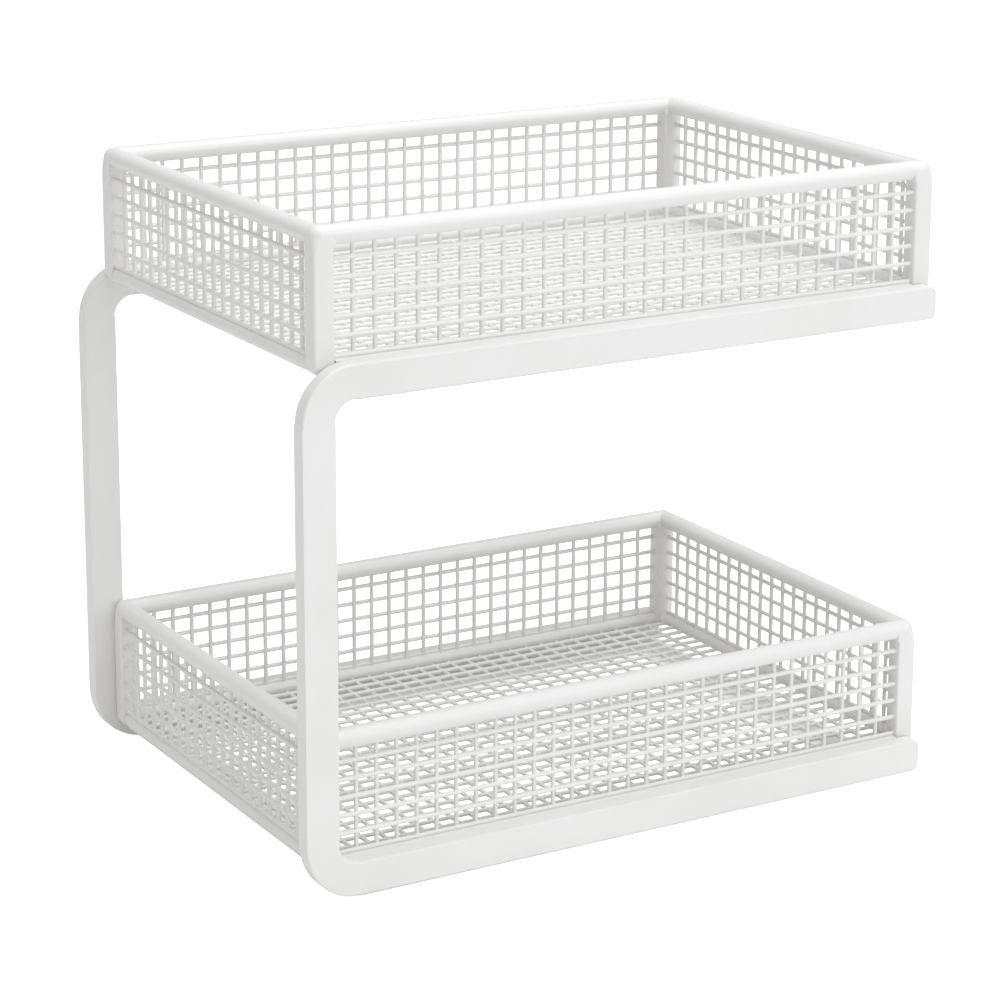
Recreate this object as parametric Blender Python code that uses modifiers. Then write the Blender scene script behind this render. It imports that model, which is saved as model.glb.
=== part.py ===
"""Two-tier storage rack: two wire baskets carried between a pair of C-shaped side frames.

Run with  blender --background --python part.py , or from Blender's text editor.
Metres, +Z up. The origin is on the ground, under the middle of the rack. The uprights stand at
-X and the arms point to +X; the front frame is at -Y.
"""
import math

import bmesh
import bpy
from mathutils import Matrix, Vector

# Side frames: one flat rectangular tube each, bent edgewise into a C
RACK_DEPTH = 0.288
FRAME_HEIGHT = 0.290
ARM_LENGTH = 0.400
BAR_WIDTH = 0.019
BAR_THICKNESS = 0.010
BAR_EDGE_RADIUS = 0.0013
BEND_INNER_RADIUS = 0.012
ARM_END_TOP_RADIUS = 0.0045
ARM_END_BOTTOM_RADIUS = 0.0035
BEND_STEPS = 8
ARM_END_STEPS = 3
BAR_EDGE_STEPS = 2

# Baskets: how they hang between the frames
BASKET_SETBACK = 0.0123
BASKET_OVERHANG = 0.0026
BASKET_HEIGHT = 0.0780
BASKET_RISE = 0.0108
BASKET_CLEARANCE = 0.0003

# Basket frame: a closed rim of round tube, four corner posts and four thinner rails
RIM_DIAMETER = 0.0108
RIM_CORNER_RADIUS = 0.0006
RIM_SIDES = 12
RIM_CORNER_STEPS = 3
POST_WIDTH = 0.0120
POST_DEPTH = 0.0105
POST_CORNER_RADIUS = 0.0025
ROUND_PROFILE = 0.5
POST_SADDLE_DEPTH = 0.0016
POST_CORNER_STEPS = 2
RAIL_DIAMETER = 0.0080
RAIL_RISE = 0.0009
RAIL_SIDES = 12

# Mesh panels: straight wires in two crossing layers, simplified to square bars. Each panel is one
# welded piece: edge wires sink into the wires that they cross by the weld depth, and the others
# pass each other with the weld gap
WIRE_DIAMETER = 0.0026
WIRE_RECESS = 0.0005
WELD_DEPTH = 0.0003
WELD_GAP = 0.0003
TOP_WIRE_DROP = 0.00665
LOWEST_WIRE_RISE = 0.0016
LEVEL_WIRES = 6
SHORT_SIDE_WIRES = 20
FLOOR_LENGTHWISE_WIRES = 25
FLOOR_CROSSWISE_WIRES = 32

# Each tier: its name, the height of its arms' underside, and the upright wires of its front and rear
LOWER_FRONT_WIRES = 29
LOWER_REAR_WIRES = 29
UPPER_FRONT_WIRES = 28
UPPER_REAR_WIRES = 29
TIERS = (
    ("lower", 0.0, LOWER_FRONT_WIRES, LOWER_REAR_WIRES),
    ("upper", FRAME_HEIGHT - BAR_WIDTH, UPPER_FRONT_WIRES, UPPER_REAR_WIRES),
)

# Places that follow from the sizes above
BASKET_LENGTH = ARM_LENGTH + BASKET_OVERHANG - BASKET_SETBACK
RACK_LENGTH = ARM_LENGTH + BASKET_OVERHANG
FRAME_LEFT = -RACK_LENGTH / 2
FRAME_FRONT = -RACK_DEPTH / 2
BASKET_LEFT = FRAME_LEFT + BASKET_SETBACK
BASKET_RIGHT = BASKET_LEFT + BASKET_LENGTH
BASKET_REAR = RACK_DEPTH / 2 - BAR_THICKNESS - BASKET_CLEARANCE
BASKET_FRONT = -BASKET_REAR
RIM_RADIUS = RIM_DIAMETER / 2
RAIL_RADIUS = RAIL_DIAMETER / 2
WIRE_RADIUS = WIRE_DIAMETER / 2
LAYER_STEP = WIRE_DIAMETER + WELD_GAP
WELD_SHIFT = WELD_GAP + WELD_DEPTH

# Points closer than this are one point
MERGE_DISTANCE = 0.00002

# Surfaces that meet at less than this angle are shaded as one; sharper edges get rounded
SMOOTH_ANGLE = math.radians(35)
ROUNDED_ANGLE = math.radians(60)


def clear_scene():
    for thing in list(bpy.data.objects):
        bpy.data.objects.remove(thing, do_unlink=True)


def new_collection(name):
    collection = bpy.data.collections.new(name)
    bpy.context.scene.collection.children.link(collection)
    return collection


def powder_coat(name, colour, roughness):
    material = bpy.data.materials.new(name)
    material.use_nodes = True
    shader = material.node_tree.nodes["Principled BSDF"]
    shader.inputs["Base Color"].default_value = (*colour, 1.0)
    shader.inputs["Roughness"].default_value = roughness
    shader.inputs["Metallic"].default_value = 0.0
    return material


def add_object(name, data, collection, material):
    thing = bpy.data.objects.new(name, data)
    collection.objects.link(thing)
    if material:
        data.materials.append(material)
    return thing


def finish_mesh(bm, name):
    """Makes a mesh of the bmesh, with its round surfaces shaded smooth."""
    bmesh.ops.recalc_face_normals(bm, faces=bm.faces)
    mesh = bpy.data.meshes.new(name)
    bm.to_mesh(mesh)
    bm.free()
    mesh.shade_smooth()
    mesh.set_sharp_from_angle(angle=SMOOTH_ANGLE)
    return mesh


# Side frames
def arc(centre, radius, start, end, steps):
    """Points along an arc, angles in quarter turns from +X towards +Z."""
    points = []
    for step in range(steps + 1):
        angle = math.pi / 2 * (start + (end - start) * step / steps)
        points.append((centre[0] + radius * math.cos(angle), centre[1] + radius * math.sin(angle)))
    return points


def frame_outline():
    """The C seen from the front: X from the back of the upright, Z from the lower arm's underside."""
    outer = BEND_INNER_RADIUS + BAR_WIDTH
    top = FRAME_HEIGHT
    end = ARM_LENGTH
    half_turn = (2, 1)
    points = []
    points += arc((outer, top - outer), outer, *half_turn, BEND_STEPS)
    points += arc((end - ARM_END_TOP_RADIUS, top - ARM_END_TOP_RADIUS), ARM_END_TOP_RADIUS, 1, 0, ARM_END_STEPS)
    points += arc((end - ARM_END_BOTTOM_RADIUS, top - BAR_WIDTH + ARM_END_BOTTOM_RADIUS),
                  ARM_END_BOTTOM_RADIUS, 0, -1, ARM_END_STEPS)
    points += arc((outer, top - outer), BEND_INNER_RADIUS, 1, 2, BEND_STEPS)
    points += arc((outer, outer), BEND_INNER_RADIUS, 2, 3, BEND_STEPS)
    points += arc((end - ARM_END_TOP_RADIUS, BAR_WIDTH - ARM_END_TOP_RADIUS), ARM_END_TOP_RADIUS, 1, 0, ARM_END_STEPS)
    points += arc((end - ARM_END_BOTTOM_RADIUS, ARM_END_BOTTOM_RADIUS), ARM_END_BOTTOM_RADIUS, 0, -1, ARM_END_STEPS)
    points += arc((outer, outer), outer, 3, 2, BEND_STEPS)
    return points


def make_side_frame(name, front, collection, material):
    """A filled outline, extruded to the bar's thickness, with its long edges rounded."""
    curve = bpy.data.curves.new(name, "CURVE")
    curve.dimensions = "2D"
    curve.fill_mode = "BOTH"
    curve.extrude = BAR_THICKNESS / 2
    outline = frame_outline()
    spline = curve.splines.new("POLY")
    spline.points.add(len(outline) - 1)
    for point, (x, z) in zip(spline.points, outline):
        point.co = (x, z, 0, 1)
    spline.use_cyclic_u = True
    frame = add_object(name, curve, collection, material)
    frame.rotation_euler = (math.pi / 2, 0, 0)
    frame.location = (FRAME_LEFT, front + BAR_THICKNESS / 2, 0)
    bpy.context.view_layer.update()
    mesh = bpy.data.meshes.new_from_object(frame.evaluated_get(bpy.context.evaluated_depsgraph_get()))
    place = frame.matrix_world.copy()
    bpy.data.objects.remove(frame, do_unlink=True)
    bm = bmesh.new()
    bm.from_mesh(mesh)
    bmesh.ops.remove_doubles(bm, verts=bm.verts, dist=MERGE_DISTANCE)
    mesh = finish_mesh(bm, name)
    frame = add_object(name, mesh, collection, material)
    frame.matrix_world = place
    bevel = frame.modifiers.new("rounded_edges", "BEVEL")
    bevel.width = BAR_EDGE_RADIUS
    bevel.segments = BAR_EDGE_STEPS
    bevel.limit_method = "ANGLE"
    bevel.angle_limit = ROUNDED_ANGLE
    return frame


# Basket frame
def rim_mesh(name, radius):
    """A closed ring of round tube. Every line of its surface is the ring's plan, offset: round at the
    corners on the outer side, and drawn in to a mitre on the inner side."""
    half_length = BASKET_LENGTH / 2 - RIM_RADIUS
    half_depth = (BASKET_REAR - BASKET_FRONT) / 2 - RIM_RADIUS
    corners = ((1, 1), (-1, 1), (-1, -1), (1, -1))
    bm = bmesh.new()
    loops = []
    for side in range(RIM_SIDES):
        turn = 2 * math.pi * side / RIM_SIDES
        offset = radius * math.cos(turn)
        height = radius * math.sin(turn)
        corner_radius = max(RIM_CORNER_RADIUS + offset, 0)
        reach = offset - corner_radius
        loop = []
        for quarter, (along, across) in enumerate(corners):
            for step in range(RIM_CORNER_STEPS + 1):
                angle = math.pi / 2 * (quarter + step / RIM_CORNER_STEPS)
                x = along * (half_length + reach) + corner_radius * math.cos(angle)
                y = across * (half_depth + reach) + corner_radius * math.sin(angle)
                loop.append(bm.verts.new((x, y, height)))
        loops.append(loop)
    for loop, following in zip(loops, loops[1:] + loops[:1]):
        for place in range(len(loop)):
            after = (place + 1) % len(loop)
            bm.faces.new((loop[place], loop[after], following[after], following[place]))
    bmesh.ops.remove_doubles(bm, verts=bm.verts, dist=MERGE_DISTANCE)
    return finish_mesh(bm, name)


def make_rim(name, base, radius, collection, material):
    rim = add_object(name, rim_mesh(name, radius), collection, material)
    rim.location = ((BASKET_LEFT + BASKET_RIGHT) / 2, 0, base + BASKET_RISE + BASKET_HEIGHT - RIM_RADIUS)
    return rim


def make_post(name, x, y, base, saddle_cutter, collection, material):
    """A corner post: a rounded box whose upper end is cut out to fit the rim's underside."""
    height = BASKET_HEIGHT - RIM_DIAMETER + POST_SADDLE_DEPTH
    bm = bmesh.new()
    bmesh.ops.create_cube(bm, size=1.0)
    bmesh.ops.scale(bm, verts=bm.verts, vec=(POST_WIDTH, POST_DEPTH, height))
    rounded = [edge for edge in bm.edges if not all(vert.co.z > 0 for vert in edge.verts)]
    bmesh.ops.bevel(bm, geom=rounded, offset=POST_CORNER_RADIUS, segments=POST_CORNER_STEPS,
                    profile=ROUND_PROFILE, affect="EDGES")
    post = add_object(name, finish_mesh(bm, name), collection, material)
    post.location = (x, y, base + BASKET_RISE + height / 2)
    saddle = post.modifiers.new("saddle", "BOOLEAN")
    saddle.operation = "DIFFERENCE"
    saddle.solver = "EXACT"
    saddle.object = saddle_cutter
    return post


def make_rail(name, start, end, collection, material):
    """A straight round rail between two corner posts."""
    length = math.dist(start, end)
    bm = bmesh.new()
    bmesh.ops.create_cone(bm, cap_ends=True, segments=RAIL_SIDES, radius1=RAIL_RADIUS,
                          radius2=RAIL_RADIUS, depth=length)
    rail = add_object(name, finish_mesh(bm, name), collection, material)
    rail.location = [(a + b) / 2 for a, b in zip(start, end)]
    lies_lengthwise = abs(end[0] - start[0]) > abs(end[1] - start[1])
    rail.rotation_euler = (0, math.pi / 2, 0) if lies_lengthwise else (math.pi / 2, 0, 0)
    return rail


# Mesh panels
def spread(first, last, count):
    """Evenly spaced places from the first to the last, both used."""
    return [first + (last - first) * number / (count - 1) for number in range(count)]


def spread_between(low, high, count):
    """Evenly spaced places inside an opening, with the same space left at both ends."""
    return [low + (high - low) * (number + 1) / (count + 1) for number in range(count)]


def wall_wires(base, low, high, upright_count):
    """A wall's upright and level wires, as places along it, depths behind its face, and heights.

    The level wires are on the outer side. The lowest of them and the outermost upright ones are
    the edge wires."""
    rim_underside = base + BASKET_RISE + BASKET_HEIGHT - RIM_DIAMETER
    rail_top = base + BASKET_RISE + RAIL_RISE + RAIL_DIAMETER
    depth = WIRE_RECESS + WIRE_RADIUS
    levels = []
    heights = spread(rail_top + LOWEST_WIRE_RISE, rim_underside - TOP_WIRE_DROP, LEVEL_WIRES)
    for number, z in enumerate(heights):
        d = depth + (WELD_SHIFT if number == 0 else 0)
        levels.append(((low + WELD_GAP, d, z), (high - WELD_GAP, d, z)))
    uprights = []
    for number, place in enumerate(spread_between(low, high, upright_count)):
        at_edge = number in (0, upright_count - 1)
        d = depth + LAYER_STEP - (WELD_SHIFT if at_edge else 0)
        uprights.append(((place, d, rail_top + WELD_GAP), (place, d, rim_underside - WELD_GAP)))
    return uprights, levels


def rail_reach(height):
    """How far the end of a floor wire stays from a rail's far side, to clear the rail by the weld gap."""
    nearest = max(abs(height) - WIRE_RADIUS, 0)
    return RAIL_RADIUS + math.sqrt((RAIL_RADIUS + WELD_GAP) ** 2 - nearest ** 2)


def floor_wires(base):
    """The crosswise wires, and the lengthwise wires under them, level with the rails' underside.

    The outermost lengthwise wires and the leftmost crosswise one are the edge wires."""
    rail_middle = base + BASKET_RISE + RAIL_RISE + RAIL_RADIUS
    first_y = BASKET_FRONT + POST_DEPTH + WELD_GAP + WIRE_RADIUS
    lengthwise = []
    for number, y in enumerate(spread(first_y, -first_y, FLOOR_LENGTHWISE_WIRES)):
        at_edge = number in (0, FLOOR_LENGTHWISE_WIRES - 1)
        height = WIRE_RADIUS - RAIL_RADIUS + (WELD_SHIFT if at_edge else 0)
        reach = rail_reach(height)
        z = rail_middle + height
        lengthwise.append(((BASKET_LEFT + reach, y, z), (BASKET_RIGHT - reach, y, z)))
    crosswise = []
    places = spread_between(BASKET_LEFT + RAIL_DIAMETER, BASKET_RIGHT - RAIL_DIAMETER, FLOOR_CROSSWISE_WIRES)
    for number, x in enumerate(places):
        height = WIRE_RADIUS - RAIL_RADIUS + LAYER_STEP - (WELD_SHIFT if number == 0 else 0)
        reach = rail_reach(height)
        z = rail_middle + height
        crosswise.append(((x, BASKET_FRONT + reach, z), (x, BASKET_REAR - reach, z)))
    return crosswise, lengthwise


def make_layer(name, wires, collection, material):
    bm = bmesh.new()
    for start, end in wires:
        middle = (Vector(start) + Vector(end)) / 2
        size = Vector([abs(b - a) or WIRE_DIAMETER for a, b in zip(start, end)])
        bmesh.ops.create_cube(bm, size=1.0, matrix=Matrix.LocRotScale(middle, None, size))
    return add_object(name, finish_mesh(bm, name), collection, material)


def make_panel(name, layers, collection, cutters, material):
    """Joins the two layers of a panel into one welded piece."""
    panel = make_layer(name, layers[0], collection, material)
    crossing = make_layer(f"{name}_crossing_layer", layers[1], cutters, None)
    crossing.hide_render = True
    crossing.display_type = "WIRE"
    weld = panel.modifiers.new("weld", "BOOLEAN")
    weld.operation = "UNION"
    weld.solver = "EXACT"
    weld.object = crossing


# Whole baskets
def make_basket_frame(tier, base, collection, cutters, material):
    make_rim(f"{tier}_rim", base, RIM_RADIUS, collection, material)
    cutter = make_rim(f"{tier}_saddle_cutter", base, RIM_RADIUS + WELD_GAP, cutters, None)
    cutter.hide_render = True
    cutter.display_type = "WIRE"
    left = BASKET_LEFT + POST_WIDTH / 2
    right = BASKET_RIGHT - POST_WIDTH / 2
    rear = BASKET_REAR - POST_DEPTH / 2
    for end, y in (("front", -rear), ("rear", rear)):
        for side, x in (("left", left), ("right", right)):
            make_post(f"{tier}_post_{end}_{side}", x, y, base, cutter, collection, material)

    z = base + BASKET_RISE + RAIL_RISE + RAIL_RADIUS
    rail_left = BASKET_LEFT + POST_WIDTH + WELD_GAP
    rail_right = BASKET_RIGHT - POST_WIDTH - WELD_GAP
    rail_rear = BASKET_REAR - POST_DEPTH - WELD_GAP
    for end, y in (("front", BASKET_FRONT + RAIL_RADIUS), ("rear", BASKET_REAR - RAIL_RADIUS)):
        make_rail(f"{tier}_rail_{end}", (rail_left, y, z), (rail_right, y, z), collection, material)
    for side, x in (("left", BASKET_LEFT + RAIL_RADIUS), ("right", BASKET_RIGHT - RAIL_RADIUS)):
        make_rail(f"{tier}_rail_{side}", (x, -rail_rear, z), (x, rail_rear, z), collection, material)


def make_basket_mesh(tier, base, front_wires, rear_wires, collection, cutters, material):
    """The floor, and the four walls: each is laid out flat and then set behind its outer face."""
    make_panel(f"{tier}_mesh_floor", floor_wires(base), collection, cutters, material)
    end_x = BASKET_RIGHT - POST_WIDTH
    end_y = BASKET_REAR - POST_DEPTH
    front_wall = wall_wires(base, BASKET_LEFT + POST_WIDTH, end_x, front_wires)
    rear_wall = wall_wires(base, BASKET_LEFT + POST_WIDTH, end_x, rear_wires)
    short_wall = wall_wires(base, -end_y, end_y, SHORT_SIDE_WIRES)
    walls = {
        "front": (front_wall, lambda place, depth, z: (place, BASKET_FRONT + depth, z)),
        "rear": (rear_wall, lambda place, depth, z: (place, BASKET_REAR - depth, z)),
        "left": (short_wall, lambda place, depth, z: (BASKET_LEFT + depth, place, z)),
        "right": (short_wall, lambda place, depth, z: (BASKET_RIGHT - depth, place, z)),
    }
    for side, (layers, put) in walls.items():
        layers = [[(put(*start), put(*end)) for start, end in layer] for layer in layers]
        make_panel(f"{tier}_mesh_{side}", layers, collection, cutters, material)


clear_scene()
rack = new_collection("two_tier_storage_rack")
cutters = new_collection("cutters")
frame_coat = powder_coat("white_powder_coat", (0.86, 0.86, 0.85), 0.38)
wire_coat = powder_coat("white_powder_coat_wire", (0.84, 0.84, 0.83), 0.42)

make_side_frame("front_frame", FRAME_FRONT, rack, frame_coat)
make_side_frame("rear_frame", RACK_DEPTH / 2 - BAR_THICKNESS, rack, frame_coat)
for tier_name, arm_underside, front_wires, rear_wires in TIERS:
    make_basket_frame(tier_name, arm_underside, rack, cutters, frame_coat)
    make_basket_mesh(tier_name, arm_underside, front_wires, rear_wires, rack, cutters, wire_coat)
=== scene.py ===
"""Dressed model of the white two-tier storage rack: bent side frames and two coated wire baskets."""
import math

import bmesh
import bpy
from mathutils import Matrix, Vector


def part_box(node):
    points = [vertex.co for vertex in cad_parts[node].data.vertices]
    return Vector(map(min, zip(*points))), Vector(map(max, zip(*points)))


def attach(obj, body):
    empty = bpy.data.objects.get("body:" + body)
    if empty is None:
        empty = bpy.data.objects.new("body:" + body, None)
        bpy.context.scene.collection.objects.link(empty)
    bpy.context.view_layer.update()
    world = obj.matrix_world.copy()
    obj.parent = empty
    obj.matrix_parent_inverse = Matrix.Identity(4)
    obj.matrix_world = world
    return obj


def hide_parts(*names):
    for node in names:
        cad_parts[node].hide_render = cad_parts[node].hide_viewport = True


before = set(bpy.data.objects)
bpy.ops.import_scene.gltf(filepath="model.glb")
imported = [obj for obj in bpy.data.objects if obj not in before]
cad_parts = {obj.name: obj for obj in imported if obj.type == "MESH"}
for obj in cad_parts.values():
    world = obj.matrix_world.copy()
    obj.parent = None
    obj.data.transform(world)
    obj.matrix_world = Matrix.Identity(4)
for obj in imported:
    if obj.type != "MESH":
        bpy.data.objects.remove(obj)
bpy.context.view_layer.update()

# Side frames
# Two equal lengths of flat 19 x 10 mm steel tube, each bent edgewise into a C that stands on its
# lower arm. The long edges are rolled, and the arms' free ends are closed and softly rounded.
BAR_WIDTH = 0.019
BAR_EDGE_RADIUS = 0.0013
BAR_EDGE_STEPS = 4
BAR_EDGE_PROFILE = 0.5
BAR_FLAT_WEIGHT = 80
BAR_SHARP_DEGREES = 40
BEND_INNER_RADIUS = 0.012
BEND_STEPS = 28
ARM_TOP_CORNER = 0.0045
ARM_LOW_CORNER = 0.0035
ARM_CORNER_STEPS = 8
SAME_PLACE = 0.00001
COAT_WHITE = (0.842, 0.827, 0.800)
COAT_SHADE = (0.815, 0.798, 0.768)
COAT_IOR = 1.5
GLAZE_WEIGHT = 0.12
GLAZE_ROUGHNESS = 0.22
PEEL_DETAIL = 2.0
PEEL_STRENGTH = 0.35
SWELL_SCALE = 110.0
SWELL_DETAIL = 1.0
SWELL_SHARE = 0.6
DRIFT_SCALE = 17.0
DRIFT_DETAIL = 3.0
DRIFT_START = 0.35
DRIFT_END = 0.70
NIB_SCALE = 95.0
NIB_EDGE = 0.10
NIB_CROWN = 0.04
NIB_HEIGHT = 0.5
NOISE_MIDDLE = 0.5
BAR_PEEL_SCALE = 620.0
BAR_PEEL_DEPTH = 0.00005
BAR_GLOSS = 0.40
GLOSS_DRIFT = 0.08


def scene_object(name, data):
    piece = bpy.data.objects.new(name, data)
    bpy.context.scene.collection.objects.link(piece)
    return piece


def mesh_from(bm, name, sharp_degrees):
    bmesh.ops.recalc_face_normals(bm, faces=bm.faces)
    mesh = bpy.data.meshes.new(name)
    bm.to_mesh(mesh)
    bm.free()
    mesh.shade_smooth()
    mesh.set_sharp_from_angle(angle=math.radians(sharp_degrees))
    return mesh


def noise(tree, place, detail, scale=1.0):
    """Cloudy noise over a piece's own coordinates."""
    texture = tree.nodes.new("ShaderNodeTexNoise")
    texture.inputs["Detail"].default_value = detail
    texture.inputs["Scale"].default_value = scale
    tree.links.new(place.outputs["Object"], texture.inputs["Vector"])
    return texture


def worked_out(tree, operation, *values):
    """What a Math node makes of its values, which are sockets or plain numbers."""
    node = tree.nodes.new("ShaderNodeMath")
    node.operation = operation
    for socket, value in zip(node.inputs, values):
        if isinstance(value, bpy.types.NodeSocket):
            tree.links.new(value, socket)
        else:
            socket.default_value = value
    return node.outputs["Value"]


def powder_coat_skin():
    """Fired powder: fine orange peel, larger swells, a few nibs, and a faint drift of tone and gloss."""
    skin = bpy.data.node_groups.new("powder_coat_skin", "ShaderNodeTree")
    sockets = skin.interface
    for label in ("Coat", "Thin Coat"):
        sockets.new_socket(name=label, in_out="INPUT", socket_type="NodeSocketColor")
    for label, usual in (("Peel Scale", BAR_PEEL_SCALE), ("Gloss", BAR_GLOSS),
                         ("Gloss Drift", GLOSS_DRIFT)):
        socket = sockets.new_socket(name=label, in_out="INPUT", socket_type="NodeSocketFloat")
        socket.default_value = usual
    sockets.new_socket(name="Colour", in_out="OUTPUT", socket_type="NodeSocketColor")
    for label in ("Roughness", "Height"):
        sockets.new_socket(name=label, in_out="OUTPUT", socket_type="NodeSocketFloat")
    nodes, links = skin.nodes, skin.links
    given = nodes.new("NodeGroupInput")
    out = nodes.new("NodeGroupOutput")
    place = nodes.new("ShaderNodeTexCoord")

    peel = noise(skin, place, PEEL_DETAIL)
    links.new(given.outputs["Peel Scale"], peel.inputs["Scale"])
    swell = noise(skin, place, SWELL_DETAIL, SWELL_SCALE)
    drift = noise(skin, place, DRIFT_DETAIL, DRIFT_SCALE)

    specks = nodes.new("ShaderNodeTexVoronoi")
    specks.inputs["Scale"].default_value = NIB_SCALE
    links.new(place.outputs["Object"], specks.inputs["Vector"])
    nib = nodes.new("ShaderNodeMapRange")
    nib.inputs["From Min"].default_value = NIB_EDGE
    nib.inputs["From Max"].default_value = NIB_CROWN
    nib.inputs["To Max"].default_value = NIB_HEIGHT
    links.new(specks.outputs["Distance"], nib.inputs["Value"])

    tone = nodes.new("ShaderNodeMix")
    tone.data_type = "RGBA"
    thinning = nodes.new("ShaderNodeMapRange")
    thinning.inputs["From Min"].default_value = DRIFT_START
    thinning.inputs["From Max"].default_value = DRIFT_END
    links.new(drift.outputs["Fac"], thinning.inputs["Value"])
    links.new(thinning.outputs["Result"], tone.inputs["Factor"])
    links.new(given.outputs["Coat"], tone.inputs["A"])
    links.new(given.outputs["Thin Coat"], tone.inputs["B"])
    links.new(tone.outputs["Result"], out.inputs["Colour"])

    centred = worked_out(skin, "SUBTRACT", swell.outputs["Fac"], NOISE_MIDDLE)
    gloss = worked_out(skin, "MULTIPLY_ADD", centred, given.outputs["Gloss Drift"], given.outputs["Gloss"])
    links.new(gloss, out.inputs["Roughness"])

    waves = worked_out(skin, "MULTIPLY_ADD", swell.outputs["Fac"], SWELL_SHARE, peel.outputs["Fac"])
    links.new(worked_out(skin, "ADD", waves, nib.outputs["Result"]), out.inputs["Height"])
    return skin


coat_skin = powder_coat_skin()


def coated_steel(name, peel_scale, gloss, peel_depth):
    """Satin white powder coat on steel."""
    material = bpy.data.materials.new(name)
    material.use_nodes = True
    nodes, links = material.node_tree.nodes, material.node_tree.links
    shader = nodes["Principled BSDF"]
    shader.inputs["Metallic"].default_value = 0.0
    shader.inputs["IOR"].default_value = COAT_IOR
    shader.inputs["Coat Weight"].default_value = GLAZE_WEIGHT
    shader.inputs["Coat Roughness"].default_value = GLAZE_ROUGHNESS
    skin = nodes.new("ShaderNodeGroup")
    skin.node_tree = coat_skin
    skin.inputs["Coat"].default_value = (*COAT_WHITE, 1.0)
    skin.inputs["Thin Coat"].default_value = (*COAT_SHADE, 1.0)
    skin.inputs["Peel Scale"].default_value = peel_scale
    skin.inputs["Gloss"].default_value = gloss
    bump = nodes.new("ShaderNodeBump")
    bump.inputs["Strength"].default_value = PEEL_STRENGTH
    bump.inputs["Distance"].default_value = peel_depth
    links.new(skin.outputs["Colour"], shader.inputs["Base Color"])
    links.new(skin.outputs["Roughness"], shader.inputs["Roughness"])
    links.new(skin.outputs["Height"], bump.inputs["Height"])
    links.new(bump.outputs["Normal"], shader.inputs["Normal"])
    return material


def dress(piece, material, node):
    """The piece takes its material, stands for its CAD node and stays with the rack."""
    piece.data.materials.append(material)
    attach(piece, "root")
    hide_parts(node)


frame_coat = coated_steel("side_frame_powder_coat", BAR_PEEL_SCALE, BAR_GLOSS, BAR_PEEL_DEPTH)


def quarter_arc(x, z, radius, start, turn, steps):
    """Points round a quarter circle, from a start angle in quarter turns."""
    points = []
    for step in range(steps + 1):
        angle = math.pi / 2 * (start + turn * step / steps)
        points.append((x + radius * math.cos(angle), z + radius * math.sin(angle)))
    return points


def arm_end(tip, top):
    """The rounded free end of an arm, from its top edge to its lower edge."""
    under = top - BAR_WIDTH
    return (quarter_arc(tip - ARM_TOP_CORNER, top - ARM_TOP_CORNER, ARM_TOP_CORNER,
                        1, -1, ARM_CORNER_STEPS)
            + quarter_arc(tip - ARM_LOW_CORNER, under + ARM_LOW_CORNER, ARM_LOW_CORNER,
                          0, -1, ARM_CORNER_STEPS))


def side_frame(node, name):
    low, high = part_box(node)
    back, tip, foot, head = low.x, high.x, low.z, high.z
    outer = BEND_INNER_RADIUS + BAR_WIDTH
    bend_x = back + outer
    outline = (quarter_arc(bend_x, head - outer, outer, 2, -1, BEND_STEPS)
               + arm_end(tip, head)
               + quarter_arc(bend_x, head - outer, BEND_INNER_RADIUS, 1, 1, BEND_STEPS)
               + quarter_arc(bend_x, foot + outer, BEND_INNER_RADIUS, 2, 1, BEND_STEPS)
               + arm_end(tip, foot + BAR_WIDTH)
               + quarter_arc(bend_x, foot + outer, outer, 3, -1, BEND_STEPS))

    bm = bmesh.new()
    face = bm.faces.new([bm.verts.new((x, low.y, z)) for x, z in outline])
    grown = bmesh.ops.extrude_face_region(bm, geom=[face])["geom"]
    for vert in grown:
        if isinstance(vert, bmesh.types.BMVert):
            vert.co.y = high.y
    long_edges = [edge for edge in bm.edges if abs(edge.verts[0].co.y - edge.verts[1].co.y) < SAME_PLACE]
    bmesh.ops.bevel(bm, geom=long_edges, offset=BAR_EDGE_RADIUS, segments=BAR_EDGE_STEPS,
                    profile=BAR_EDGE_PROFILE, affect="EDGES", clamp_overlap=True)
    piece = scene_object(name, mesh_from(bm, name, BAR_SHARP_DEGREES))
    flats = piece.modifiers.new("flat_faces", "WEIGHTED_NORMAL")
    flats.keep_sharp = True
    flats.weight = BAR_FLAT_WEIGHT
    dress(piece, frame_coat, node)


side_frame("front_frame", "front_side_frame")
side_frame("rear_frame", "rear_side_frame")

# Basket rims
# Each basket is edged by a closed ring of round 10.8 mm tube. Its four lengths are cut to a mitre,
# welded and ground, so a corner is round outside and creased inside.
RIM_RADIUS = 0.0054
RIM_CORNER = 0.0006
RIM_SIDES = 48
RIM_CORNER_STEPS = 14
RIM_SHARP_DEGREES = 30
TUBE_GLOSS = 0.37
TIERS = ("lower", "upper")
tube_coat = coated_steel("basket_tube_powder_coat", BAR_PEEL_SCALE, TUBE_GLOSS, BAR_PEEL_DEPTH)


def join_rings(bm, rings):
    """Faces from each ring of points to the next one."""
    for ring, after in zip(rings, rings[1:]):
        for spot in range(len(ring)):
            ahead = (spot + 1) % len(ring)
            bm.faces.new((ring[spot], ring[ahead], after[ahead], after[spot]))


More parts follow.
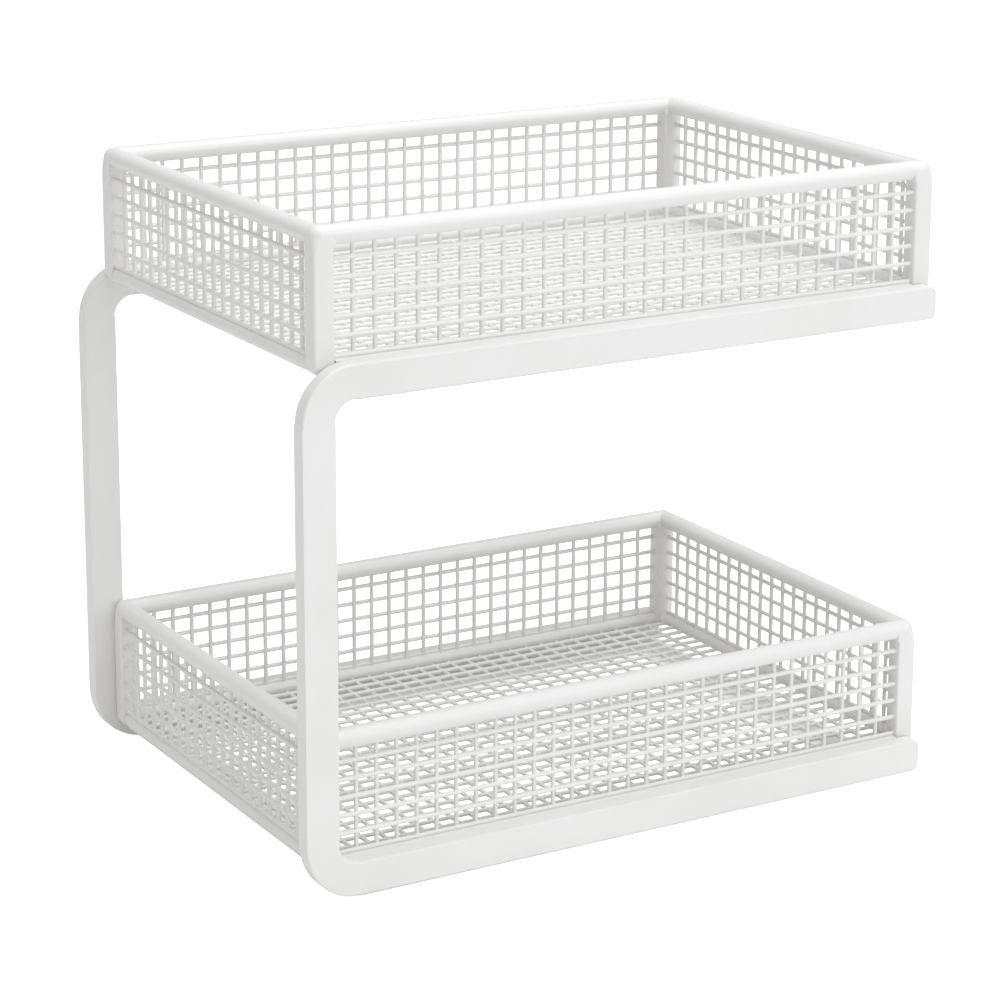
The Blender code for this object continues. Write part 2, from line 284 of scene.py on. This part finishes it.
def basket_rim(tier):
    low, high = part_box(f"{tier}_rim")
    centre = (low + high) / 2
    half_x = (high.x - low.x) / 2 - RIM_RADIUS
    half_y = (high.y - low.y) / 2 - RIM_RADIUS
    bm = bmesh.new()
    lines = []
    for side in range(RIM_SIDES):
        turn = 2 * math.pi * side / RIM_SIDES
        offset = RIM_RADIUS * math.cos(turn)
        z = centre.z + RIM_RADIUS * math.sin(turn)
        corner = max(RIM_CORNER + offset, 0)
        reach = offset - corner
        line = []
        for quarter, (right, rear) in enumerate(((1, 1), (-1, 1), (-1, -1), (1, -1))):
            for step in range(RIM_CORNER_STEPS + 1):
                angle = math.pi / 2 * (quarter + step / RIM_CORNER_STEPS)
                line.append(bm.verts.new((centre.x + right * (half_x + reach) + corner * math.cos(angle),
                                          centre.y + rear * (half_y + reach) + corner * math.sin(angle), z)))
        lines.append(line)
    join_rings(bm, lines + lines[:1])
    bmesh.ops.remove_doubles(bm, verts=bm.verts, dist=SAME_PLACE)
    name = f"{tier}_basket_rim"
    piece = scene_object(name, mesh_from(bm, name, RIM_SHARP_DEGREES))
    dress(piece, tube_coat, f"{tier}_rim")


for tier in TIERS:
    basket_rim(tier)

# Corner posts
# Four short flattened tubes hold each rim over its floor. Their outer faces run smoothly up into
# the rim, a weld fills the angle under it, and their lower ends are closed and well rounded.
POST_CORNER = 0.0020
POST_INNER_CORNER = 0.0011
POST_CORNER_STEPS = 7
POST_SIDE_RADII = 2.05
POST_SHARP_DEGREES = 40
SHAFT_PARTS = (0.3, 0.6, 0.9)
FOOT_OUTER_RADIUS = 0.0055
FOOT_INNER_RADIUS = 0.0020
FOOT_STEPS = 10
POST_WELD = 0.0010
CORNER_BLEND = 0.011
BLEND_STEPS = 16


def fillet(radius, distance):
    """How far a fillet's face stands off at a distance from the face that it leans on."""
    if distance >= radius:
        return 0.0
    return radius - math.sqrt(radius ** 2 - (radius - max(distance, 0.0)) ** 2)


def capped_skin(bm, rings):
    """Faces along a row of rings and across its first and last one."""
    join_rings(bm, rings)
    bm.faces.new(rings[0])
    bm.faces.new(rings[-1])


def corner_post(tier, end, side):
    node = f"{tier}_post_{end}_{side}"
    low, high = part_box(node)
    rim_low, rim_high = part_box(f"{tier}_rim")
    rim_middle = (rim_low.z + rim_high.z) / 2
    width, depth = high.x - low.x, high.y - low.y
    sign_x = 1 if side == "left" else -1
    sign_y = 1 if end == "front" else -1
    outer_x = low.x if side == "left" else high.x
    outer_y = low.y if end == "front" else high.y
    heights = [low.z + FOOT_OUTER_RADIUS * (1 - math.cos(math.pi / 2 * step / FOOT_STEPS))
               for step in range(FOOT_STEPS + 1)]
    heights += [low.z + (rim_middle - CORNER_BLEND - low.z) * part for part in SHAFT_PARTS]
    heights += [rim_middle - CORNER_BLEND * (1 - step / BLEND_STEPS) for step in range(BLEND_STEPS + 1)]
    bm = bmesh.new()
    rings = []
    for z in heights:
        shrink_out = fillet(FOOT_OUTER_RADIUS, z - low.z)
        shrink_in = fillet(FOOT_INNER_RADIUS, z - low.z)
        weld = fillet(POST_WELD, rim_low.z - z)
        rise = max(0.0, 1 - (rim_middle - z) / CORNER_BLEND)
        outer_corner = POST_CORNER + (RIM_RADIUS + RIM_CORNER - POST_CORNER) * rise ** 2
        u0, u1 = shrink_out, width - shrink_in + weld
        v0, v1 = shrink_out, depth - shrink_in + weld
        ring = []
        for quarter, (u, v, radius) in enumerate(((u1, v1, POST_INNER_CORNER), (u0, v1, POST_INNER_CORNER),
                                                  (u0, v0, outer_corner), (u1, v0, POST_INNER_CORNER))):
            radius = min(radius, (u1 - u0) / POST_SIDE_RADII, (v1 - v0) / POST_SIDE_RADII)
            cu = u - radius if u == u1 else u + radius
            cv = v - radius if v == v1 else v + radius
            for step in range(POST_CORNER_STEPS + 1):
                angle = math.pi / 2 * (quarter + step / POST_CORNER_STEPS)
                ring.append(bm.verts.new((outer_x + sign_x * (cu + radius * math.cos(angle)),
                                          outer_y + sign_y * (cv + radius * math.sin(angle)), z)))
        rings.append(ring)
    capped_skin(bm, rings)
    name = f"{tier}_corner_post_{end}_{side}"
    piece = scene_object(name, mesh_from(bm, name, POST_SHARP_DEGREES))
    dress(piece, tube_coat, node)


for tier in TIERS:
    for end in ("front", "rear"):
        for side in ("left", "right"):
            corner_post(tier, end, side)

# Bottom rails
# Round 8 mm rods join the posts at their lower ends and carry the mesh. The short ones are bent at
# both ends to meet the long ones, and a smoothed weld seam along each long one joins it to its arm.
RAIL_SIDES = 32
RAIL_BEND = 0.012
RAIL_BEND_STEPS = 10
RAIL_SHARP_DEGREES = 60
SEAM_REACH = 0.0046
SEAM_RISE = 0.0029
SEAM_SHARE = 0.625
ARM_SIDES = {"front": -1, "rear": 1, "left": 0, "right": 0}


def rail_profile(radius, arm_side):
    """Points round a rod, sideways and up from its middle, filled out to the arm on the arm's side."""
    points = []
    for side in range(RAIL_SIDES):
        turn = 2 * math.pi * side / RAIL_SIDES
        off, rise = radius * math.cos(turn), radius * math.sin(turn)
        if arm_side * off > SAME_PLACE and rise > SAME_PLACE:
            part = math.acos(rise / radius) / (math.pi / 2)
            if part <= SEAM_SHARE:
                off = arm_side * SEAM_REACH * part / SEAM_SHARE
                rise = radius + (SEAM_RISE - radius) * part / SEAM_SHARE
            else:
                left_over = (1 - part) / (1 - SEAM_SHARE)
                off = arm_side * (radius + (SEAM_REACH - radius) * left_over ** 2)
                rise = SEAM_RISE * left_over
        points.append((off, rise))
    return points


def bottom_rail(tier, place):
    node = f"{tier}_rail_{place}"
    low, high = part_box(node)
    middle = (low + high) / 2
    radius = (high.z - low.z) / 2
    if place in ("front", "rear"):
        reach = (high.x - low.x) / 2
        path = [((middle.x + end * reach, middle.y), (0.0, 1.0)) for end in (-1, 1)]
    else:
        inward = 1 if place == "left" else -1
        path = []
        for long_rail, end in (("front", 1), ("rear", -1)):
            long_low, long_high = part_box(f"{tier}_rail_{long_rail}")
            along = (long_low.y + long_high.y) / 2
            bend = []
            for step in range(RAIL_BEND_STEPS + 1):
                angle = math.pi / 2 * step / RAIL_BEND_STEPS
                out = (-inward * math.sin(angle), -end * math.cos(angle))
                bend.append(((middle.x + inward * RAIL_BEND + out[0] * RAIL_BEND,
                              along + end * RAIL_BEND + out[1] * RAIL_BEND), out))
            path += bend if end == 1 else bend[::-1]
    profile = rail_profile(radius, ARM_SIDES[place])
    bm = bmesh.new()
    rings = []
    for (x, y), (out_x, out_y) in path:
        rings.append([bm.verts.new((x + off * out_x, y + off * out_y, middle.z + rise))
                      for off, rise in profile])
    capped_skin(bm, rings)
    name = f"{tier}_bottom_rail_{place}"
    piece = scene_object(name, mesh_from(bm, name, RAIL_SHARP_DEGREES))
    dress(piece, tube_coat, node)


for tier in TIERS:
    for place in ("front", "rear", "left", "right"):
        bottom_rail(tier, place)

# Mesh walls and floor
# Welded mesh closes each side with 2.6 mm wire, and the floor with finer 2.4 mm wire. A wall's level
# wires lie outside, pressed into the upright ones, and the thick coat rounds the openings' corners.
WIRE_RADIUS = 0.0013
WIRE_SIDES = 12
WIRE_SHARP_DEGREES = 60
WIRE_SINK = 0.0016
WIRE_PEEL_SCALE = 800.0
WIRE_PEEL_DEPTH = 0.00004
WIRE_GLOSS = 0.42
LEVEL_WIRES = 6
SHORT_SIDE_WIRES = 20
LONG_SIDE_WIRES = {"lower": {"front": 29, "rear": 29}, "upper": {"front": 28, "rear": 29}}
LAYER_DEPTH = 0.0010
MESH_RECESS = 0.0018
FIRST_LEVEL_RISE = 0.0007
LAST_LEVEL_DROP = 0.00665
FLOOR_WIRE_RADIUS = 0.0012
FLOOR_LENGTHWISE_WIRES = 25
FLOOR_CROSSWISE_WIRES = 32
FLOOR_LAYER_DEPTH = 0.0007
FLOOR_SINK = 0.0030
FLOOR_POST_GAP = 0.0016
BEAD_SPREAD = 1.45
BEAD_DEPTH = 1.3
BEAD_SIDES = 8
BEAD_RINGS = 5
wire_coat = coated_steel("mesh_wire_powder_coat", WIRE_PEEL_SCALE, WIRE_GLOSS, WIRE_PEEL_DEPTH)


def spread(first, last, count):
    """Evenly spaced places from the first to the last."""
    return [first + (last - first) * number / (count - 1) for number in range(count)]


def spread_between(low, high, count):
    """Evenly spaced places between two that are left out."""
    return spread(low, high, count + 2)[1:-1]


def wire_skin(start, end, radius):
    """Points and faces of one round wire from start to end."""
    along = (end - start).normalized()
    across = along.orthogonal().normalized()
    third = along.cross(across)
    points = []
    for point in (start, end):
        for side in range(WIRE_SIDES):
            turn = 2 * math.pi * side / WIRE_SIDES
            points.append(point + radius * (across * math.cos(turn) + third * math.sin(turn)))
    faces = [(side, (side + 1) % WIRE_SIDES, (side + 1) % WIRE_SIDES + WIRE_SIDES, side + WIRE_SIDES)
             for side in range(WIRE_SIDES)]
    faces += [tuple(reversed(range(WIRE_SIDES))), tuple(range(WIRE_SIDES, 2 * WIRE_SIDES))]
    return points, faces


def weld_bead(radius):
    """The coated weld at a crossing: a small flattened bead that rounds the openings' corners."""
    bm = bmesh.new()
    bmesh.ops.create_uvsphere(bm, u_segments=BEAD_SIDES, v_segments=BEAD_RINGS, radius=radius)
    bmesh.ops.scale(bm, vec=(BEAD_SPREAD, BEAD_SPREAD, BEAD_DEPTH), verts=bm.verts)
    points = [vert.co.copy() for vert in bm.verts]
    faces = sorted(tuple(vert.index for vert in face.verts) for face in bm.faces)
    bm.free()
    return points, faces


def crossing(start, end, other, other_end):
    """Where two wires of a panel pass each other, midway between them."""
    meeting = Vector((0, 0, 0))
    for axis in range(3):
        if abs(end[axis] - start[axis]) > WIRE_RADIUS:
            meeting[axis] = other[axis]
        elif abs(other_end[axis] - other[axis]) > WIRE_RADIUS:
            meeting[axis] = start[axis]
        else:
            meeting[axis] = (start[axis] + other[axis]) / 2
    return meeting


def mesh_panel(tier, place, first_wires, second_wires, facing, radius):
    """Two layers of wires, each wire from start to end, with a weld at every crossing."""
    points, faces = [], []

    def add(more_points, more_faces):
        shift = len(points)
        points.extend(more_points)
        faces.extend(tuple(index + shift for index in face) for face in more_faces)

    for start, end in first_wires + second_wires:
        add(*wire_skin(start, end, radius))
    bead_points, bead_faces = weld_bead(radius)
    turned = [facing.to_track_quat("Z", "Y") @ point for point in bead_points]
    for start, end in first_wires:
        for other, other_end in second_wires:
            meeting = crossing(start, end, other, other_end)
            add([meeting + point for point in turned], bead_faces)
    name = f"{tier}_basket_mesh_{place}"
    mesh = bpy.data.meshes.new(name)
    mesh.from_pydata([tuple(point) for point in points], [], faces)
    mesh.shade_smooth()
    mesh.set_sharp_from_angle(angle=math.radians(WIRE_SHARP_DEGREES))
    dress(scene_object(name, mesh), wire_coat, f"{tier}_mesh_{place}")


def wall(tier, place):
    low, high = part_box(f"{tier}_mesh_{place}")
    post_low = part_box(f"{tier}_post_front_left")[1]
    post_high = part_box(f"{tier}_post_rear_right")[0]
    rail_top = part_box(f"{tier}_rail_{place}")[1].z
    rim_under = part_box(f"{tier}_rim")[0].z
    inward = 1 if place in ("front", "left") else -1
    outer_side = low if inward == 1 else high
    long_side = place in ("front", "rear")
    if long_side:
        start, end, outer, facing = post_low.x, post_high.x, outer_side.y, Vector((0, 1, 0))
    else:
        start, end, outer, facing = post_low.y, post_high.y, outer_side.x, Vector((1, 0, 0))
    count = LONG_SIDE_WIRES[tier][place] if long_side else SHORT_SIDE_WIRES

    def put(along, depth, z):
        at = outer + inward * depth
        return Vector((along, at, z)) if long_side else Vector((at, along, z))

    level_depth = WIRE_RADIUS + MESH_RECESS
    upright_depth = level_depth + LAYER_DEPTH
    levels = [(put(start - WIRE_SINK, level_depth, z), put(end + WIRE_SINK, level_depth, z))
              for z in spread(rail_top + FIRST_LEVEL_RISE, rim_under - LAST_LEVEL_DROP, LEVEL_WIRES)]
    uprights = [(put(along, upright_depth, rail_top - WIRE_SINK),
                 put(along, upright_depth, rim_under + WIRE_SINK))
                for along in spread_between(start, end, count)]
    mesh_panel(tier, place, levels, uprights, facing, WIRE_RADIUS)


def floor(tier):
    low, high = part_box(f"{tier}_mesh_floor")
    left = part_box(f"{tier}_rail_left")[1].x
    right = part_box(f"{tier}_rail_right")[0].x
    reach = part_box(f"{tier}_post_rear_left")[0].y - FLOOR_POST_GAP
    crosswise_z = low.z + FLOOR_WIRE_RADIUS
    lengthwise_z = crosswise_z + FLOOR_LAYER_DEPTH
    lengthwise = [(Vector((low.x - FLOOR_SINK, y, lengthwise_z)),
                   Vector((high.x + FLOOR_SINK, y, lengthwise_z)))
                  for y in spread(-reach, reach, FLOOR_LENGTHWISE_WIRES)]
    crosswise = [(Vector((x, low.y - FLOOR_SINK, crosswise_z)),
                  Vector((x, high.y + FLOOR_SINK, crosswise_z)))
                 for x in spread_between(left, right, FLOOR_CROSSWISE_WIRES)]
    mesh_panel(tier, "floor", lengthwise, crosswise, Vector((0, 0, 1)), FLOOR_WIRE_RADIUS)


for tier in TIERS:
    for place in ("front", "rear", "left", "right"):
        wall(tier, place)
    floor(tier)

# Studio
# A plain white sweep in a white room, lit softly from above and from the front right. The camera sees
# both as pure white, as in a catalogue picture, with only the rack's own shade left beneath it.
PAPER_RADIUS = 9.0
PAPER_SIDES = 96
PAPER_SHARP_DEGREES = 40
PAPER_DROP = 0.0004
PAPER_ROUGHNESS = 0.9
PAPER_DARKEST = 0.93
PAPER_LIGHTEST = 0.95
FIBRE_SCALE = 40.0
PAPER_GLOW = 0.75
SHADE_LEFT = -0.176
SHADE_RIGHT = 0.200
SHADE_REACH = 0.139
GLOW_STEPS = ((-0.038, 1.1), (-0.022, 0.0), (-0.008, 0.0), (0.0, 1.0))
ROOM_STRENGTH = 0.563
ROOM_DAYLIGHT = (0.990, 0.995, 1.0)
LAMP_DAYLIGHT = (0.915, 0.957, 1.0)
LAMP_TARGET = (0.0, 0.0, 0.2)
TOP_PLACE = (0.2, -0.4, 2.6)
TOP_SIZE = 2.2
TOP_POWER = 40.0
FRONT_PLACE = (1.0, -2.8, 1.3)
FRONT_SIZE = 2.0
FRONT_POWER = 18.0


def paper_glow(tree):
    """The sweep's glow for the camera: everywhere but in a band inside the rack's outline."""
    nodes, links = tree.nodes, tree.links
    place = nodes.new("ShaderNodeTexCoord")
    centred = nodes.new("ShaderNodeVectorMath")
    centred.operation = "SUBTRACT"
    centred.inputs[1].default_value = ((SHADE_LEFT + SHADE_RIGHT) / 2, 0.0, 0.0)
    links.new(place.outputs["Object"], centred.inputs[0])
    spot = nodes.new("ShaderNodeVectorMath")
    spot.operation = "ABSOLUTE"
    links.new(centred.outputs["Vector"], spot.inputs[0])
    axes = nodes.new("ShaderNodeSeparateXYZ")
    links.new(spot.outputs["Vector"], axes.inputs["Vector"])
    past_end = worked_out(tree, "SUBTRACT", axes.outputs["X"], (SHADE_RIGHT - SHADE_LEFT) / 2)
    past_side = worked_out(tree, "SUBTRACT", axes.outputs["Y"], SHADE_REACH)
    outside = worked_out(tree, "MAXIMUM", past_end, past_side)

    first, last = GLOW_STEPS[0][0], GLOW_STEPS[-1][0]
    inward = nodes.new("ShaderNodeMapRange")
    inward.inputs["From Min"].default_value = first
    inward.inputs["From Max"].default_value = last
    links.new(outside, inward.inputs["Value"])
    glow = nodes.new("ShaderNodeValToRGB")
    stops = glow.color_ramp
    stops.interpolation = "EASE"
    for distance, _ in GLOW_STEPS[1:-1]:
        stops.elements.new((distance - first) / (last - first))
    for stop, (_, share) in zip(stops.elements, GLOW_STEPS):
        stop.color = (PAPER_GLOW * share,) * 3 + (1.0,)
    links.new(inward.outputs["Result"], glow.inputs["Fac"])
    path = nodes.new("ShaderNodeLightPath")
    return worked_out(tree, "MULTIPLY", path.outputs["Is Camera Ray"], glow.outputs["Color"])


def paper_sweep():
    bm = bmesh.new()
    bmesh.ops.create_circle(bm, cap_ends=True, segments=PAPER_SIDES, radius=PAPER_RADIUS)
    paper = scene_object("paper_sweep", mesh_from(bm, "paper_sweep", PAPER_SHARP_DEGREES))
    paper.location.z = -PAPER_DROP
    material = bpy.data.materials.new("white_paper")
    material.use_nodes = True
    tree = material.node_tree
    shader = tree.nodes["Principled BSDF"]
    shader.inputs["Roughness"].default_value = PAPER_ROUGHNESS
    shader.inputs["Specular IOR Level"].default_value = 0.0
    fibre = tree.nodes.new("ShaderNodeTexNoise")
    fibre.inputs["Scale"].default_value = FIBRE_SCALE
    shade = tree.nodes.new("ShaderNodeMapRange")
    shade.inputs["To Min"].default_value = PAPER_DARKEST
    shade.inputs["To Max"].default_value = PAPER_LIGHTEST
    tree.links.new(fibre.outputs["Fac"], shade.inputs["Value"])
    tree.links.new(shade.outputs["Result"], shader.inputs["Base Color"])
    shader.inputs["Emission Color"].default_value = (1.0, 1.0, 1.0, 1.0)
    tree.links.new(paper_glow(tree), shader.inputs["Emission Strength"])
    paper.data.materials.append(material)


def soft_box(name, location, size, power):
    light = bpy.data.lights.new(name, "AREA")
    light.shape = "DISK"
    light.size = size
    light.energy = power
    light.color = LAMP_DAYLIGHT
    lamp = scene_object(name, light)
    lamp.location = location
    lamp.rotation_euler = (Vector(LAMP_TARGET) - Vector(location)).to_track_quat("-Z", "Y").to_euler()


def white_room():
    world = bpy.data.worlds.new("white_room")
    bpy.context.scene.world = world
    world.use_nodes = True
    nodes, links = world.node_tree.nodes, world.node_tree.links
    nodes.clear()
    out = nodes.new("ShaderNodeOutputWorld")
    seen = nodes.new("ShaderNodeBackground")
    seen.inputs["Color"].default_value = (1.0, 1.0, 1.0, 1.0)
    seen.inputs["Strength"].default_value = 1.0
    lit = nodes.new("ShaderNodeBackground")
    lit.inputs["Color"].default_value = (*ROOM_DAYLIGHT, 1.0)
    lit.inputs["Strength"].default_value = ROOM_STRENGTH
    path = nodes.new("ShaderNodeLightPath")
    pick = nodes.new("ShaderNodeMixShader")
    links.new(path.outputs["Is Camera Ray"], pick.inputs["Fac"])
    links.new(lit.outputs["Background"], pick.inputs[1])
    links.new(seen.outputs["Background"], pick.inputs[2])
    links.new(pick.outputs["Shader"], out.inputs["Surface"])


paper_sweep()
white_room()
soft_box("overhead_light", TOP_PLACE, TOP_SIZE, TOP_POWER)
soft_box("front_light", FRONT_PLACE, FRONT_SIZE, FRONT_POWER)
bpy.context.scene.view_settings.view_transform = "Standard"

# Camera
# A long lens from the front left, above the upper basket. The picture is shifted a little on it, which
# keeps upright edges nearer to parallel.
CAMERA_PLACE = (-0.89332, -1.52703, 0.67600)
CAMERA_TURN = (1.31671, -0.00394, -0.52728)
LENS_LENGTH = 114.259
LENS_SHIFT = -0.1
SENSOR_WIDTH = 36.0
FARTHEST_SEEN = 50.0
camera = scene_object("camera", bpy.data.cameras.new("camera"))
camera.location = CAMERA_PLACE
camera.rotation_euler = CAMERA_TURN
camera.data.lens = LENS_LENGTH
camera.data.sensor_width = SENSOR_WIDTH
camera.data.shift_y = LENS_SHIFT
camera.data.clip_end = FARTHEST_SEEN
bpy.context.scene.camera = camera
